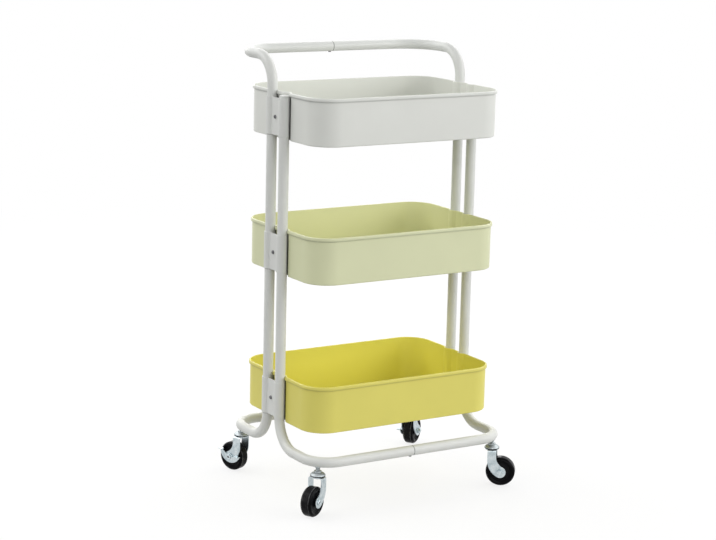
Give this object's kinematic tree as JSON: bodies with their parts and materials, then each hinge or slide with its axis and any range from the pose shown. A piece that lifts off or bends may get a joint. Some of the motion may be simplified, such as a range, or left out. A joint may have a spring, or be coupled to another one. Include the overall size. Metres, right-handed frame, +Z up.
{
  "type": "utility cart",
  "caption": "Upright utility cart with open pressed steel trays between bent tube uprights, a push handle at the back and swivel casters, braked at the rear.",
  "frame": {"origin": "on the floor below the middle of the trays", "axes": "+X along the trays' long side, +Y to the back where the handle is, +Z up"},
  "size_m": [0.4705, 0.3713, 0.827],
  "materials": {
    "frame_paint": "satin powder coat",
    "top_tray_paint": "satin powder coat",
    "middle_tray_paint": "satin powder coat",
    "bottom_tray_paint": "satin powder coat",
    "zinc_steel": "bright zinc plate",
    "dark_screw": "blackened",
    "cap_plastic": "moulded",
    "race_plastic": "moulded nylon",
    "hub_plastic": "moulded",
    "tyre_rubber": "smooth"
  },
  "bodies": {
    "frame": {"left_rear_tube": "frame_paint", "left_front_tube": "frame_paint", "left_tube_cap": "cap_plastic", "right_rear_tube": "frame_paint", "right_front_tube": "frame_paint", "right_tube_cap": "cap_plastic", "handle_sleeve": "zinc_steel", "front_base_sleeve": "zinc_steel", "rear_base_sleeve": "zinc_steel", "joint_screws": "dark_screw", "bottom_tray": "bottom_tray_paint", "bottom_right_clamp": "frame_paint", "bottom_left_clamp": "frame_paint", "middle_tray": "middle_tray_paint", "middle_right_clamp": "frame_paint", "middle_left_clamp": "frame_paint", "top_tray": "top_tray_paint", "top_right_clamp": "frame_paint", "top_left_clamp": "frame_paint", "clamp_screws": "dark_screw", "clamp_bosses": "zinc_steel", "weld_nuts": "zinc_steel", "front_left_stem": "zinc_steel", "front_left_cup": "zinc_steel", "front_right_stem": "zinc_steel", "front_right_cup": "zinc_steel", "rear_left_stem": "zinc_steel", "rear_left_cup": "zinc_steel", "rear_right_stem": "zinc_steel", "rear_right_cup": "zinc_steel"},
    "front_left_caster": {"front_left_swivel_race": "race_plastic", "front_left_fork": "zinc_steel", "front_left_axle": "zinc_steel", "front_left_axle_nut": "zinc_steel"},
    "front_left_wheel": {"front_left_hub": "hub_plastic", "front_left_tyre": "tyre_rubber"},
    "front_right_caster": {"front_right_swivel_race": "race_plastic", "front_right_fork": "zinc_steel", "front_right_axle": "zinc_steel", "front_right_axle_nut": "zinc_steel"},
    "front_right_wheel": {"front_right_hub": "hub_plastic", "front_right_tyre": "tyre_rubber"},
    "rear_left_caster": {"rear_left_swivel_race": "race_plastic", "rear_left_fork": "zinc_steel", "rear_left_axle": "zinc_steel", "rear_left_axle_nut": "zinc_steel"},
    "rear_left_wheel": {"rear_left_hub": "hub_plastic", "rear_left_tyre": "tyre_rubber"},
    "rear_left_brake": {"rear_left_brake_pedal": "zinc_steel"},
    "rear_right_caster": {"rear_right_swivel_race": "race_plastic", "rear_right_fork": "zinc_steel", "rear_right_axle": "zinc_steel", "rear_right_axle_nut": "zinc_steel"},
    "rear_right_wheel": {"rear_right_hub": "hub_plastic", "rear_right_tyre": "tyre_rubber"},
    "rear_right_brake": {"rear_right_brake_pedal": "zinc_steel"}
  },
  "joints": [
    {"name": "front_left_swivel", "type": "hinge", "parent": "frame", "child": "front_left_caster", "pos_m": [-0.1934, -0.1458, 0.071], "axis": [0, 0, 1], "continuous": true},
    {"name": "front_left_spin", "type": "hinge", "parent": "front_left_caster", "child": "front_left_wheel", "pos_m": [-0.20914, -0.15453, 0.028], "axis": [0.4848, -0.8746, 0], "continuous": true},
    {"name": "front_right_swivel", "type": "hinge", "parent": "frame", "child": "front_right_caster", "pos_m": [0.1934, -0.1458, 0.071], "axis": [0, 0, 1], "continuous": true},
    {"name": "front_right_spin", "type": "hinge", "parent": "front_right_caster", "child": "front_right_wheel", "pos_m": [0.20719, -0.15737, 0.028], "axis": [0.6428, 0.766, 0], "continuous": true},
    {"name": "rear_left_swivel", "type": "hinge", "parent": "frame", "child": "rear_left_caster", "pos_m": [-0.1934, 0.1458, 0.071], "axis": [0, 0, 1], "continuous": true},
    {"name": "rear_left_spin", "type": "hinge", "parent": "rear_left_caster", "child": "rear_left_wheel", "pos_m": [-0.20014, 0.16249, 0.028], "axis": [-0.9272, -0.3746, 0], "continuous": true},
    {"name": "rear_left_brake_rock", "type": "hinge", "parent": "rear_left_caster", "child": "rear_left_brake", "pos_m": [-0.20014, 0.16249, 0.028], "axis": [-0.9272, -0.3746, 0], "range_deg": [0, 30]},
    {"name": "rear_right_swivel", "type": "hinge", "parent": "frame", "child": "rear_right_caster", "pos_m": [0.1934, 0.1458, 0.071], "axis": [0, 0, 1], "continuous": true},
    {"name": "rear_right_spin", "type": "hinge", "parent": "rear_right_caster", "child": "rear_right_wheel", "pos_m": [0.20796, 0.15638, 0.028], "axis": [-0.5878, 0.809, 0], "continuous": true},
    {"name": "rear_right_brake_rock", "type": "hinge", "parent": "rear_right_caster", "child": "rear_right_brake", "pos_m": [0.20796, 0.15638, 0.028], "axis": [-0.5878, 0.809, 0], "range_deg": [0, 30]}
  ]
}
